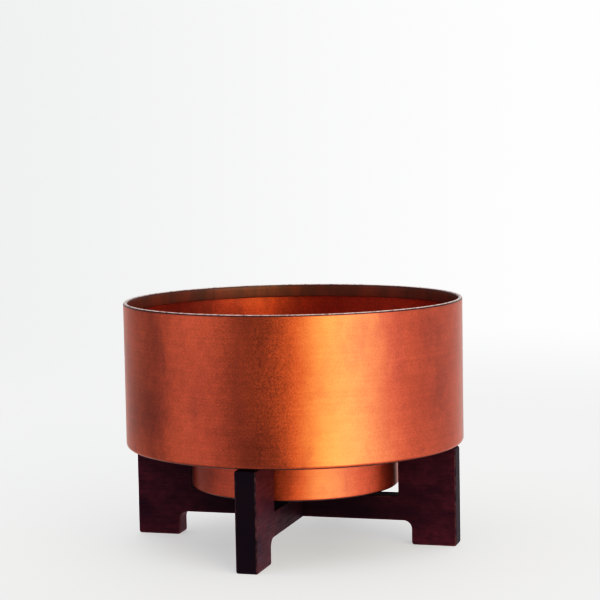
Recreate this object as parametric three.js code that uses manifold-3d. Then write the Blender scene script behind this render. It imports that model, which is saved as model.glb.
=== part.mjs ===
// Planter pot: a stepped, copper-finished sheet metal pot that stands in a knock-down wooden cross.
//
// Millimetres, +Z up. The origin is on the floor, under the centre of the stand. The pot's axis is Z,
// and the two boards of the stand lie along X and Y. The pot hangs by its shoulder on the four leg tops,
// with its base cup down in the notch of both boards and clear of them all round.

import * as THREE from "three";
import { mergeVertices } from "three/addons/utils/BufferGeometryUtils.js";
import Module from "manifold-3d";

// --- Driving dimensions: the pot ------------------------------------------------------------------
const DRUM_DIAMETER = 203.2; // outside of the wide part
const DRUM_HEIGHT = 86.6; // underside of the shoulder to the top of the rim
const SHEET = 1.2; // metal thickness of the drum and of the base cup
const SHOULDER_RADIUS = 2.4; // outside radius between the drum's wall and its shoulder
const HEM_HEIGHT = 8; // how far the sheet is folded down inside the rim
const CUP_DIAMETER = 124.8; // outside of the base cup
const CUP_DEPTH = 25.3; // underside of the shoulder to the underside of the cup
const CUP_CORNER_RADIUS = 1.6; // outside radius between the cup's wall and its floor
const CUP_FLANGE_WIDTH = 6; // how far the cup's flange reaches out over the shoulder
const DRAIN_DIAMETER = 16; // hole in the middle of the cup's floor

// --- Driving dimensions: the drain plug -----------------------------------------------------------
const PLUG_LIP = 5; // how far the plug's head reaches past the hole
const PLUG_HEAD_HEIGHT = 2.5;
const PLUG_TAPER = 0.6; // how much thinner the neck is at its lower end, on the radius
const PLUG_GRIP_DIAMETER = 7;
const PLUG_GRIP_HEIGHT = 6;

// --- Driving dimensions: the stand ----------------------------------------------------------------
const BOARD_THICKNESS = 12.7;
const ARCH_HEIGHT = 14.3; // floor to the underside of the crossbar, between the feet
const CROSSBAR_HEIGHT = 14.7; // depth of the wood between the arch and the notch
const FOOT_WIDTH = 27; // along the board, at the floor
const ARCH_RADIUS = 5; // inside corners of the arch
const NOTCH_RADIUS = 1.6; // inside corners of the notch
const CORNER_RADIUS = 1.6; // outside corners of the legs and feet
const ARRIS = 1; // rounding of the board's long edges
const BUMPER_DIAMETER = 8;
const BUMPER_THICKNESS = 1;

// --- Clearances -----------------------------------------------------------------------------------
const CUP_FLOOR_GAP = 5; // base cup to the notch floor under it
const CUP_SIDE_GAP = 2.5; // base cup to the side of the notch
const LEG_INSET = 1.7; // leg end inside the drum's outside
const CUP_HOLE_CLEARANCE = 0.3; // base cup in the shoulder's hole, on the radius
const PLUG_CLEARANCE = 0.3; // plug in the drain hole, on the radius
const LAP_SIDE_CLEARANCE = 0.2; // board in the other board's slot, on each side
const LAP_DEPTH_CLEARANCE = 0.2; // between the floors of the two slots

// --- How round things are cut into facets ---------------------------------------------------------
const DRUM_SIDES = 72;
const CUP_SIDES = 60;
const SMALL_SIDES = 32;
const ARC_STEPS = 4; // per quarter turn of a profile

// --- Worked out from the above --------------------------------------------------------------------
const drumRadius = DRUM_DIAMETER / 2;
const cupRadius = CUP_DIAMETER / 2;
const drainRadius = DRAIN_DIAMETER / 2;
const notchFloorZ = ARCH_HEIGHT + CROSSBAR_HEIGHT;
const cupBottomZ = notchFloorZ + CUP_FLOOR_GAP;
const shoulderZ = cupBottomZ + CUP_DEPTH;
const rimZ = shoulderZ + DRUM_HEIGHT;
const legTopZ = shoulderZ - BUMPER_THICKNESS;
const boardReach = drumRadius - LEG_INSET;
const notchReach = cupRadius + CUP_SIDE_GAP;
const archReach = boardReach - FOOT_WIDTH;
const lapZ = (ARCH_HEIGHT + notchFloorZ) / 2;
const bumperReach = (notchReach + boardReach) / 2;

// --- Materials ------------------------------------------------------------------------------------
const copperFinish = { color: 0xb8683f, roughness: 0.38, metalness: 1 };
const espressoWood = { color: 0x2b151c, roughness: 0.5, metalness: 0 };
const blackRubber = { color: 0x1a1a1c, roughness: 0.8, metalness: 0 };
const darkRubber = { color: 0x2b2825, roughness: 0.6, metalness: 0 };

// --- Helpers --------------------------------------------------------------------------------------
const wasm = await Module();
wasm.setup();

/** A named mesh with a material of its own. */
function piece(name, geometry, look) {
  const mesh = new THREE.Mesh(geometry, new THREE.MeshStandardMaterial(look));
  mesh.name = name;
  return mesh;
}

/** Points of an arc in the (radius, height) plane, from one angle to another in quarter turns. */
function arc(r, z, radius, fromQuarter, toQuarter) {
  const steps = Math.ceil(Math.abs(toQuarter - fromQuarter) * ARC_STEPS);
  return Array.from({ length: steps + 1 }, (_, i) => {
    const angle = ((fromQuarter + ((toQuarter - fromQuarter) * i) / steps) * Math.PI) / 2;
    return new THREE.Vector2(r + radius * Math.cos(angle), z + radius * Math.sin(angle));
  });
}

/** A ring or disc turned about Z from a profile of (radius, height) points, anticlockwise. */
function turned(profile, sides) {
  return new THREE.LatheGeometry(profile, sides).rotateX(Math.PI / 2);
}

/** A geometry as a manifold-3d solid. */
function solidOf(geometry) {
  const bare = geometry.clone();
  bare.deleteAttribute("normal");
  bare.deleteAttribute("uv");
  const merged = mergeVertices(bare, 1e-4);
  return new wasm.Manifold(
    new wasm.Mesh({
      numProp: 3,
      vertProperties: new Float32Array(merged.attributes.position.array),
      triVerts: new Uint32Array(merged.index.array),
    }),
  );
}

/** A manifold-3d solid as a geometry. */
function geometryOf(solid) {
  const mesh = solid.getMesh();
  const geometry = new THREE.BufferGeometry();
  geometry.setAttribute("position", new THREE.BufferAttribute(mesh.vertProperties, 3));
  geometry.setIndex(new THREE.BufferAttribute(mesh.triVerts, 1));
  return geometry;
}

// --- The pot --------------------------------------------------------------------------------------

/** Wall and shoulder, formed from one sheet: hemmed rim at the top, round hole in the shoulder. */
function drumShell() {
  const holeRadius = cupRadius + CUP_HOLE_CLEARANCE;
  const innerCorner = Math.max(SHOULDER_RADIUS - SHEET, SHEET / 4);
  const cornerR = drumRadius - SHOULDER_RADIUS;
  const cornerZ = shoulderZ + SHOULDER_RADIUS;
  const innerCornerR = drumRadius - SHEET - innerCorner;
  const innerCornerZ = shoulderZ + SHEET + innerCorner;
  const foldRadius = SHEET; // the hem is two sheets thick, so its fold is one sheet in radius
  const hemInnerR = drumRadius - 2 * SHEET;
  const profile = [
    new THREE.Vector2(holeRadius, shoulderZ),
    ...arc(cornerR, cornerZ, SHOULDER_RADIUS, -1, 0),
    ...arc(drumRadius - foldRadius, rimZ - foldRadius, foldRadius, 0, 2),
    new THREE.Vector2(hemInnerR, rimZ - HEM_HEIGHT),
    new THREE.Vector2(drumRadius - SHEET, rimZ - HEM_HEIGHT - SHEET),
    ...arc(innerCornerR, innerCornerZ, innerCorner, 0, -1),
    new THREE.Vector2(holeRadius, shoulderZ + SHEET),
    new THREE.Vector2(holeRadius, shoulderZ),
  ];
  return piece("drum_shell", turned(profile, DRUM_SIDES), copperFinish);
}

/** Drawn cup, dropped through the shoulder's hole and hung there by its flange. */
function baseCup() {
  const innerCorner = Math.max(CUP_CORNER_RADIUS - SHEET, SHEET / 4);
  const cornerR = cupRadius - CUP_CORNER_RADIUS;
  const cornerZ = cupBottomZ + CUP_CORNER_RADIUS;
  const innerCornerR = cupRadius - SHEET - innerCorner;
  const innerCornerZ = cupBottomZ + SHEET + innerCorner;
  const flangeZ = shoulderZ + SHEET;
  const flangeRadius = cupRadius + CUP_HOLE_CLEARANCE + CUP_FLANGE_WIDTH;
  const profile = [
    new THREE.Vector2(drainRadius, cupBottomZ),
    ...arc(cornerR, cornerZ, CUP_CORNER_RADIUS, -1, 0),
    new THREE.Vector2(cupRadius, flangeZ),
    new THREE.Vector2(flangeRadius, flangeZ),
    new THREE.Vector2(flangeRadius, flangeZ + SHEET),
    ...arc(cupRadius, flangeZ, SHEET, 1, 2),
    ...arc(innerCornerR, innerCornerZ, innerCorner, 0, -1),
    new THREE.Vector2(drainRadius, cupBottomZ + SHEET),
    new THREE.Vector2(drainRadius, cupBottomZ),
  ];
  return piece("base_cup", turned(profile, CUP_SIDES), copperFinish);
}

/** Rubber plug: tapered neck in the drain hole, flat head on the cup's floor, knob to pull it by. */
function drainPlug() {
  const neckRadius = drainRadius - PLUG_CLEARANCE;
  const headZ = cupBottomZ + SHEET;
  const gripZ = headZ + PLUG_HEAD_HEIGHT;
  const headRadius = drainRadius + PLUG_LIP;
  const gripRadius = PLUG_GRIP_DIAMETER / 2;
  const edge = PLUG_HEAD_HEIGHT / 3;
  const profile = [
    new THREE.Vector2(0, cupBottomZ),
    new THREE.Vector2(neckRadius - PLUG_TAPER, cupBottomZ),
    new THREE.Vector2(neckRadius, headZ),
    new THREE.Vector2(headRadius, headZ),
    ...arc(headRadius - edge, gripZ - edge, edge, 0, 1),
    new THREE.Vector2(gripRadius, gripZ),
    ...arc(gripRadius - edge, gripZ + PLUG_GRIP_HEIGHT - edge, edge, 0, 1),
    new THREE.Vector2(0, gripZ + PLUG_GRIP_HEIGHT),
  ];
  return piece("drain_plug", turned(profile, SMALL_SIDES), blackRubber);
}

// --- The stand ------------------------------------------------------------------------------------

/** Outline of a board in (along the board, height), with the arch below and the notch above. */
function boardOutline() {
  const corners = [
    [-boardReach, 0, CORNER_RADIUS],
    [-archReach, 0, CORNER_RADIUS],
    [-archReach, ARCH_HEIGHT, ARCH_RADIUS],
    [archReach, ARCH_HEIGHT, ARCH_RADIUS],
    [archReach, 0, CORNER_RADIUS],
    [boardReach, 0, CORNER_RADIUS],
    [boardReach, legTopZ, CORNER_RADIUS],
    [notchReach, legTopZ, CORNER_RADIUS],
    [notchReach, notchFloorZ, NOTCH_RADIUS],
    [-notchReach, notchFloorZ, NOTCH_RADIUS],
    [-notchReach, legTopZ, CORNER_RADIUS],
    [-boardReach, legTopZ, CORNER_RADIUS],
  ];
  const outline = [];
  corners.forEach(([x, z, radius], i) => {
    const [beforeX, beforeZ] = corners.at(i - 1);
    const [afterX, afterZ] = corners[(i + 1) % corners.length];
    const inward = new THREE.Vector2(Math.sign(beforeX - x), Math.sign(beforeZ - z));
    const onward = new THREE.Vector2(Math.sign(afterX - x), Math.sign(afterZ - z));
    for (let step = 0; step <= ARC_STEPS; step += 1) {
      const angle = (step / ARC_STEPS) * (Math.PI / 2);
      const alongInward = radius * (1 - Math.sin(angle));
      const alongOnward = radius * (1 - Math.cos(angle));
      outline.push(
        new THREE.Vector2(
          x + inward.x * alongInward + onward.x * alongOnward,
          z + inward.y * alongInward + onward.y * alongOnward,
        ),
      );
    }
  });
  return new THREE.Shape(outline);
}

/** A board along X with rounded arrises, standing on the floor, before its slot is cut. */
function boardBlank() {
  const blank = new THREE.ExtrudeGeometry(boardOutline(), {
    depth: BOARD_THICKNESS - 2 * ARRIS,
    bevelThickness: ARRIS,
    bevelSize: ARRIS,
    bevelOffset: -ARRIS,
    bevelSegments: 2,
  });
  blank.translate(0, 0, ARRIS - BOARD_THICKNESS / 2);
  return blank.rotateX(Math.PI / 2);
}

/** The slot that the other board drops into, from its floor at lapZ to past the crossbar. */
function lapSlot(upwards) {
  const width = BOARD_THICKNESS + 2 * LAP_SIDE_CLEARANCE;
  const height = CROSSBAR_HEIGHT;
  const offset = (height - LAP_DEPTH_CLEARANCE) / 2;
  const slot = new THREE.BoxGeometry(width, 2 * BOARD_THICKNESS, height);
  slot.translate(0, 0, upwards ? lapZ + offset : lapZ - offset);
  return slot;
}

/** One board of the cross; the lower one is slotted from above and the upper one from below. */
function standBoard(name, slotUpwards, quarterTurns) {
  const cut = solidOf(boardBlank()).subtract(solidOf(lapSlot(slotUpwards)));
  const geometry = geometryOf(cut).rotateZ((quarterTurns * Math.PI) / 2);
  return piece(name, geometry, espressoWood);
}

/** A soft pad in the middle of a leg top, for the metal shoulder to sit on. */
function bumper(name, x, y) {
  const disc = new THREE.CylinderGeometry(
    BUMPER_DIAMETER / 2,
    BUMPER_DIAMETER / 2,
    BUMPER_THICKNESS,
    SMALL_SIDES,
  ).rotateX(Math.PI / 2);
  const mesh = piece(name, disc, darkRubber);
  mesh.position.set(x, y, legTopZ + BUMPER_THICKNESS / 2);
  return mesh;
}

// --- Assembly -------------------------------------------------------------------------------------

const pot = new THREE.Group();
pot.add(drumShell(), baseCup(), drainPlug());

const stand = new THREE.Group();
stand.add(standBoard("lower_board", true, 0), standBoard("upper_board", false, 1));
stand.add(bumper("bumper_right", bumperReach, 0), bumper("bumper_left", -bumperReach, 0));
stand.add(bumper("bumper_front", 0, -bumperReach), bumper("bumper_rear", 0, bumperReach));

const planter = new THREE.Group();
planter.add(pot, stand);

export default planter;
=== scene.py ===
"""Looks of the planter pot: a copper-finished, stepped metal pot in a dark wooden cross stand.

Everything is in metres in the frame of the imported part: +Z up, the origin on the floor under the pot's
axis, the lower board along X and the upper board along Y.
"""

import logging
import math
from dataclasses import dataclass
from enum import Enum
from functools import cache
from typing import Callable, Iterable, Mapping, NamedTuple, Sequence, Union

import bmesh
import bpy
from bmesh.types import BMEdge, BMesh, BMFace, BMVert
from bpy.types import ID, Material, Node, NodeSocket, NodeTree, Object
from mathutils import Matrix, Quaternion, Vector, noise


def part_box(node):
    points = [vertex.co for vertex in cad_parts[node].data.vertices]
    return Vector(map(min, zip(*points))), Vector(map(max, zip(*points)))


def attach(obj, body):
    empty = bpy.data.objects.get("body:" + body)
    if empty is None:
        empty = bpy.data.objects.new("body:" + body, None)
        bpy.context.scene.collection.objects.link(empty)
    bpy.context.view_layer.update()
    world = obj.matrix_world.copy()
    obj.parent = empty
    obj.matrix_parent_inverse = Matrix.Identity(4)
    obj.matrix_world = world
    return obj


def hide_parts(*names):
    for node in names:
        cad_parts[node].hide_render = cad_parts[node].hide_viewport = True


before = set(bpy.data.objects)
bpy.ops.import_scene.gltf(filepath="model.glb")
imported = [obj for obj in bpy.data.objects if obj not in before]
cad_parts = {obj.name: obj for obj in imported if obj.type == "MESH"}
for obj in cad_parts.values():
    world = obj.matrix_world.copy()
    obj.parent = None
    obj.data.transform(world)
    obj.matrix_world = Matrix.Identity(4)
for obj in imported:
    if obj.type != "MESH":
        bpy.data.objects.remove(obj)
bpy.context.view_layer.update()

LOG = logging.getLogger("planter")
MM = 0.001
WELD_DISTANCE = 0.000002
# A vertex is painted up to about 0.5 where the copper is tarnished or darkened as painted shade or painted
# dark reflection, and above that where it is rubbed bare.
EDGE_ATTRIBUTE = "edge"
EDGE_STEP = 0.35
# Most of a noise's values lie between these two.
NOISE_RANGE = (0.3, 0.7)
# Numbers of the sockets that a Mix node uses for colours, which share their names with others.
MIX_SHARE, MIX_FIRST, MIX_SECOND, MIX_RESULT = 0, 6, 7, 2
# Number of the curve that acts on all three colours at once.
WHOLE_CURVE = 3
# Segments of a rounded corner of an outline, and of a board's rounded long edge.
CORNER_SEGMENTS = 6
ARRIS_SEGMENTS = 4
WHITE = (1.0, 1.0, 1.0)

Colour = tuple[float, float, float]
Value = Union[NodeSocket, float, Sequence[float]]
Sockets = Mapping[str, NodeSocket]


# --- Working with node trees ------------------------------------------------------------------------


@dataclass
class NodeBench:
    """Puts nodes into one tree and joins their sockets.

    Args:
        tree: The node tree that is being built.
    """

    tree: NodeTree

    def node(
        self, kind: str, inputs: Mapping[Union[str, int], Value] | None = None, **settings: object
    ) -> Node:
        """Adds a node.

        Args:
            kind: Blender's name for the type of node.
            inputs: What to feed to its inputs, by name or number.
            **settings: Properties of the node to set.

        Returns:
            The new node.
        """
        made = self.tree.nodes.new(kind)
        for name, value in settings.items():
            setattr(made, name, value)
        for name, value in (inputs or {}).items():
            self.feed(made.inputs[name], value)
        return made

    def feed(self, target: NodeSocket, source: Value) -> None:
        """Joins a socket to an input, or sets the input to a fixed value.

        Args:
            target: The input to feed.
            source: A socket, a number, a colour or a direction.
        """
        if isinstance(source, NodeSocket):
            self.tree.links.new(source, target)
        elif isinstance(source, (int, float)) or len(source) == len(target.default_value):
            target.default_value = source
        else:
            target.default_value = (*source, 1.0)

    def maths(self, operation: str, first: Value, second: Value = 0.0) -> NodeSocket:
        """Works out one sum, by Blender's name for it; the second number is for sums that have one."""
        return self.node("ShaderNodeMath", {0: first, 1: second}, operation=operation).outputs[0]

    def plus(self, first: Value, second: Value) -> NodeSocket:
        """Adds two numbers."""
        return self.maths("ADD", first, second)

    def minus(self, first: Value, second: Value) -> NodeSocket:
        """Takes the second number from the first."""
        return self.maths("SUBTRACT", first, second)

    def times(self, first: Value, second: Value) -> NodeSocket:
        """Multiplies two numbers."""
        return self.maths("MULTIPLY", first, second)

    def reach(self, first: Value, second: Value) -> NodeSocket:
        """Works out how far a place is from an axis, from its two distances across the axis."""
        return self.maths("SQRT", self.plus(self.maths("POWER", first, 2), self.maths("POWER", second, 2)))

    def between(
        self, value: Value, low: float, high: float, to_low: Value = 0.0, to_high: Value = 1.0
    ) -> NodeSocket:
        """Maps a number smoothly from one range to another, and holds it at the ends."""
        given = {"Value": value, "From Min": low, "From Max": high, "To Min": to_low, "To Max": to_high}
        return self.node("ShaderNodeMapRange", given, interpolation_type="SMOOTHSTEP").outputs["Result"]

    def mix(self, share: Value, first: Value, second: Value, blend: str = "MIX") -> NodeSocket:
        """Mixes two colours in the way of that name, by the share of the second, 0 to 1."""
        given = {MIX_SHARE: share, MIX_FIRST: first, MIX_SECOND: second}
        return self.node("ShaderNodeMix", given, data_type="RGBA", blend_type=blend).outputs[MIX_RESULT]

    def layered(self, base: Value, *layers: tuple[NodeSocket, float, Colour]) -> NodeSocket:
        """Lays colours over each other, each where its mask shows it.

        Args:
            base: The lowest colour.
            *layers: The mask, strength and colour of each layer, from the lowest up.

        Returns:
            The colour of all of them.
        """
        for mask, strength, colour in layers:
            base = self.mix(self.times(mask, strength), base, colour)
        return base

    def noise(self, place: NodeSocket, scale: Value, detail: float, rough: float = 0.5) -> NodeSocket:
        """Adds noise about 0.5, by its features per metre, octaves and strength of the finer ones."""
        given = {"Vector": place, "Scale": scale, "Detail": detail, "Roughness": rough}
        return self.node("ShaderNodeTexNoise", given).outputs["Fac"]

    def stretched(
        self, place: NodeSocket, scale: Sequence[float], turn: Sequence[float] = (0, 0, 0)
    ) -> NodeSocket:
        """Scales a position along each axis and turns it, in radians, about the origin."""
        given = {"Vector": place, "Scale": scale, "Rotation": turn}
        return self.node("ShaderNodeMapping", given).outputs["Vector"]

    def own_place(self) -> NodeSocket:
        """Returns the position on the piece, which keeps to the piece as it moves."""
        return self.node("ShaderNodeTexCoord").outputs["Object"]

    def parts_of(self, place: NodeSocket) -> tuple[NodeSocket, NodeSocket, NodeSocket]:
        """Splits a position into its x, y and z."""
        return tuple(self.node("ShaderNodeSeparateXYZ", {0: place}).outputs)

    def upward(self) -> NodeSocket:
        """Returns how far the surface faces up, from -1 to 1."""
        return self.parts_of(self.node("ShaderNodeTexCoord").outputs["Normal"])[2]

    def painted(self, name: str) -> NodeSocket:
        """Returns a number painted on the piece's vertices."""
        return self.node("ShaderNodeAttribute", attribute_name=name).outputs["Fac"]

    def effect(self, group: Callable[[], NodeTree], **inputs: Value) -> Sockets:
        """Places a shared effect, its inputs named with _ for spaces, and returns its outputs."""
        given = {name.replace("_", " "): value for name, value in inputs.items()}
        return self.node("ShaderNodeGroup", given, node_tree=group()).outputs


def start_group(
    name: str, takes: Iterable[str], gives: Iterable[str]
) -> tuple[NodeBench, Sockets, Sockets]:
    """Starts the node group of an effect, whose first input is Place, the position on the piece.

    Args:
        name: The group's name.
        takes: Names of its other inputs, all numbers.
        gives: Names of its outputs, all numbers.

    Returns:
        A bench for the group, the sockets that its inputs come from, and those of its outputs.
    """
    tree = bpy.data.node_groups.new(name, "ShaderNodeTree")
    tree.interface.new_socket("Place", in_out="INPUT", socket_type="NodeSocketVector")
    for way, labels in (("INPUT", takes), ("OUTPUT", gives)):
        for label in labels:
            tree.interface.new_socket(label, in_out=way, socket_type="NodeSocketFloat")
    bench = NodeBench(tree)
    return bench, bench.node("NodeGroupInput").outputs, bench.node("NodeGroupOutput").inputs


# --- Effects that several finishes share, each built once -------------------------------------------


@cache
def fine_grain() -> NodeTree:
    """Builds the fine grain of a satin surface.

    Returns:
        A group that takes Per Metre, and gives Grain, about 0.5, and Specks, a sparse mask.
    """
    bench, takes, gives = start_group("fine grain", ["Per Metre"], ["Grain", "Specks"])
    bench.feed(gives["Grain"], bench.noise(takes["Place"], takes["Per Metre"], detail=3.0, rough=0.65))
    coarse = bench.noise(takes["Place"], bench.times(takes["Per Metre"], 0.55), detail=1.0)
    bench.feed(gives["Specks"], bench.between(coarse, 0.70, 0.78))
    return bench.tree


@cache
def clouding() -> NodeTree:
    """Builds soft unevenness over a surface.

    Returns:
        A group that takes Per Metre, and gives Cloud, from 0 to 1.
    """
    bench, takes, gives = start_group("clouding", ["Per Metre"], ["Cloud"])
    cloud = bench.noise(takes["Place"], takes["Per Metre"], detail=4.0, rough=0.55)
    bench.feed(gives["Cloud"], bench.between(cloud, *NOISE_RANGE))
    return bench.tree


@cache
def edge_wear_and_shade() -> NodeTree:
    """Builds the broken mask of a painted edge: wear on the wood and rubber, and on the copper tarnish
    together with painted shade and painted dark reflection.

    Returns:
        A group that takes Per Metre, Amount and From, the painted amount at which it starts, and gives
        Worn, a mask from 0 to 1.
    """
    bench, takes, gives = start_group("worn edge", ["Per Metre", "Amount", "From"], ["Worn"])
    broken = bench.noise(takes["Place"], takes["Per Metre"], detail=5.0, rough=0.6)
    patches = bench.between(bench.plus(broken, takes["Amount"]), 0.85, 1.15)
    above = bench.minus(bench.painted(EDGE_ATTRIBUTE), takes["From"])
    bench.feed(gives["Worn"], bench.times(bench.between(above, 0.0, EDGE_STEP), patches))
    return bench.tree


@cache
def sheltered_side() -> NodeTree:
    """Builds the stained film inside a turned sheet: nearer its axis than a radius, or facing up.

    Returns:
        A group that takes Radius, and gives Film, a mask from 0 to 1.
    """
    bench, takes, gives = start_group("sheltered side", ["Radius"], ["Film"])
    x, y, _ = bench.parts_of(takes["Place"])
    within = bench.between(bench.minus(takes["Radius"], bench.reach(x, y)), 0.0, 0.4 * MM)
    runs = bench.noise(bench.stretched(takes["Place"], (1.0, 1.0, 0.25)), 60.0, detail=5.0, rough=0.6)
    sheltered = bench.maths("MAXIMUM", within, bench.between(bench.upward(), 0.5, 0.9))
    bench.feed(gives["Film"], bench.times(sheltered, bench.between(runs, *NOISE_RANGE, 0.72, 1.0)))
    return bench.tree


@cache
def turning_lines() -> NodeTree:
    """Builds the faint rings that spinning or moulding leaves round the axis.

    Returns:
        A group that takes Per Metre, and gives Lines, about 0.5.
    """
    bench, takes, gives = start_group("turning lines", ["Per Metre"], ["Lines"])
    x, y, z = bench.parts_of(takes["Place"])
    drift = 0.02
    across = {"X": bench.plus(bench.reach(x, y), z), "Y": bench.times(x, drift), "Z": bench.times(y, drift)}
    unrolled = bench.node("ShaderNodeCombineXYZ", across).outputs[0]
    bench.feed(gives["Lines"], bench.noise(unrolled, takes["Per Metre"], detail=2.0))
    return bench.tree


@cache
def settled_dust() -> NodeTree:
    """Builds dust that has settled on faces that look up.

    Returns:
        A group that takes Amount, and gives Dust, a mask from 0 to 1.
    """
    bench, takes, gives = start_group("settled dust", ["Amount"], ["Dust"])
    patchy = bench.between(bench.noise(takes["Place"], 90.0, detail=6.0, rough=0.7), 0.35, 0.75)
    lying = bench.times(bench.between(bench.upward(), 0.35, 1.0), patchy)
    bench.feed(gives["Dust"], bench.times(lying, takes["Amount"]))
    return bench.tree


@cache
def wood_figure() -> NodeTree:
    """Builds the figure of a plank whose grain runs along its own X, and its heart beside and below it.

    Returns:
        A group that gives Rings, Fibre and Pores, each from 0 to 1.
    """
    bench, takes, gives = start_group("wood figure", [], ["Rings", "Fibre", "Pores"])
    heart_beside, heart_below, ring_waves = 34 * MM, 47 * MM, 2400.0
    drawn = bench.stretched(takes["Place"], (0.07, 1.0, 1.0))
    _, y, z = bench.parts_of(drawn)
    from_heart = bench.reach(bench.plus(y, heart_beside), bench.plus(z, heart_below))
    swayed = bench.plus(from_heart, bench.times(bench.noise(drawn, 28.0, detail=3.0), 22 * MM))
    wave = bench.maths("SINE", bench.times(swayed, ring_waves))
    bench.feed(gives["Rings"], bench.between(wave, -1.0, 1.0))
    fibre = bench.noise(bench.stretched(takes["Place"], (0.045, 1.0, 1.0)), 1500.0, detail=4.0, rough=0.6)
    bench.feed(gives["Fibre"], bench.between(fibre, *NOISE_RANGE))
    pores = bench.noise(bench.stretched(takes["Place"], (0.06, 1.0, 1.0)), 2600.0, detail=1.0)
    bench.feed(gives["Pores"], bench.between(pores, 0.62, 0.72))
    return bench.tree


# --- Finishes ---------------------------------------------------------------------------------------


def new_material(name: str) -> tuple[Material, NodeBench, Node]:
    """Starts a material.

    Args:
        name: Its name.

    Returns:
        The material, a bench for its tree, and its Principled shader.
    """
    material = bpy.data.materials.new(name)
    material.use_nodes = True
    return material, NodeBench(material.node_tree), material.node_tree.nodes["Principled BSDF"]


def raise_bump(bench: NodeBench, shader: Node, height: NodeSocket, depth: float) -> None:
    """Gives a shader a bump, from a relief of 0 to 1 and the height of 1 in metres."""
    bump = bench.node("ShaderNodeBump", {"Distance": depth, "Height": height})
    bench.feed(shader.inputs["Normal"], bump.outputs["Normal"])


@dataclass(frozen=True)
class CopperFinish:
    """Satin copper finish with a fine metallic grain, and a dark colour on its edges that is partly patina
    and partly painted shade and painted dark reflection.

    Args:
        name: The material's name.
        inner_radius: Radius within which the sheet is sheltered and stained.
        deep: Colour of the darker clouds.
        bright: Colour of the brighter clouds.
        tarnish: Colour of the brownish smudges.
        specks: Colour of the sparse dark specks.
        film: Colour of the sheltered side.
        dust: Colour of the dust on faces that look up.
        patina_and_painted_shade: Colour of the tarnished edge, also laid as painted shade under the drum's
            shoulder and round the cup, and as a painted dark reflection under the rim's crest.
        glint: Colour of bare metal where the edge is rubbed.
        sheen: Tint of the metal's shine at a grazing angle.
        roughness: Middle of the metal's roughness.
        coat: Strength of the clear coat.
        coat_roughness: Roughness of the clear coat.
        lines_depth: Depth of the turning lines.
        grain_depth: Depth of the grain.
    """

    name: str
    inner_radius: float
    deep: Colour = (0.66, 0.150, 0.085)
    bright: Colour = (0.84, 0.205, 0.108)
    tarnish: Colour = (0.40, 0.095, 0.075)
    specks: Colour = (0.20, 0.05, 0.03)
    film: Colour = (0.115, 0.058, 0.047)
    dust: Colour = (0.55, 0.42, 0.36)
    patina_and_painted_shade: Colour = (0.060, 0.014, 0.022)
    glint: Colour = (0.46, 0.38, 0.37)
    sheen: Colour = (0.76, 0.62, 0.58)
    roughness: float = 0.36
    coat: float = 0.85
    coat_roughness: float = 0.34
    lines_depth: float = 0.004 * MM
    grain_depth: float = 0.012 * MM

    def material(self) -> Material:
        """Builds the material.

        Returns:
            The material.
        """
        made, bench, shader = new_material(self.name)
        place = bench.own_place()
        upright = bench.stretched(place, (1.0, 1.0, 0.45))
        grain = bench.effect(fine_grain, Place=place, Per_Metre=1300.0)
        cloud = bench.effect(clouding, Place=place, Per_Metre=14.0)["Cloud"]
        smudge = bench.effect(clouding, Place=upright, Per_Metre=38.0)["Cloud"]
        mottle = bench.effect(clouding, Place=place, Per_Metre=170.0)["Cloud"]
        lines = bench.effect(turning_lines, Place=place, Per_Metre=800.0)["Lines"]
        # Mask of the dark edge colour: real tarnish, painted dark reflection under the rim's crest, and
        # painted shade under the shoulder and on the cup.
        wear_and_painted_shade = bench.effect(edge_wear_and_shade, Place=place, Per_Metre=260.0, Amount=0.72, From=0.08)["Worn"]
        rubbed = bench.effect(edge_wear_and_shade, Place=place, Per_Metre=420.0, Amount=0.58, From=0.55)["Worn"]
        film = bench.effect(sheltered_side, Place=place, Radius=self.inner_radius)["Film"]
        dust = bench.effect(settled_dust, Place=place, Amount=0.10)["Dust"]

        metal = bench.mix(cloud, self.deep, self.bright)
        metal = bench.layered(metal, (bench.between(smudge, 0.45, 1.0), 0.38, self.tarnish))
        shade = bench.between(grain["Grain"], *NOISE_RANGE, 0.84, 1.12)
        shade = bench.times(shade, bench.between(mottle, 0.0, 1.0, 0.95, 1.03))
        shade = bench.times(shade, bench.between(lines, *NOISE_RANGE, 0.96, 1.04))
        toned = bench.layered(
            bench.mix(1.0, metal, shade, "MULTIPLY"),
            (grain["Specks"], 0.30, self.specks),
            (film, 0.95, self.film),
            (dust, 1.0, self.dust),
            # painted shade and painted dark reflection, partly tarnish, laid in the dark edge colour
            (wear_and_painted_shade, 1.0, self.patina_and_painted_shade),
            (rubbed, 1.0, self.glint),
        )
        bench.feed(shader.inputs["Base Color"], toned)

        spread = 0.05
        rough = bench.between(
            grain["Grain"], *NOISE_RANGE, self.roughness - spread, self.roughness + spread
        )
        rough = bench.plus(rough, bench.between(cloud, 0.0, 1.0, -0.02, 0.03))
        for mask, change in ((dust, 0.5), (film, 0.12), (wear_and_painted_shade, 0.12)):
            rough = bench.plus(rough, bench.times(mask, change))
        bench.feed(shader.inputs["Roughness"], rough)

        dulled = bench.minus(1.0, bench.times(dust, 0.8))
        bench.feed(shader.inputs["Metallic"], bench.minus(dulled, bench.times(film, 0.60)))
        shader.inputs["Specular Tint"].default_value = (*self.sheen, 1.0)
        shader.inputs["Coat Weight"].default_value = self.coat
        shader.inputs["Coat Roughness"].default_value = self.coat_roughness
        relief = bench.times(grain["Grain"], self.grain_depth / self.lines_depth)
        raise_bump(bench, shader, bench.plus(relief, lines), self.lines_depth)
        return made


class GrainAxis(Enum):
    """The way a board's grain runs, with the turn that brings it to the plank's own X."""

    ALONG_X = 0.0
    ALONG_Y = -math.pi / 2


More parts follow.
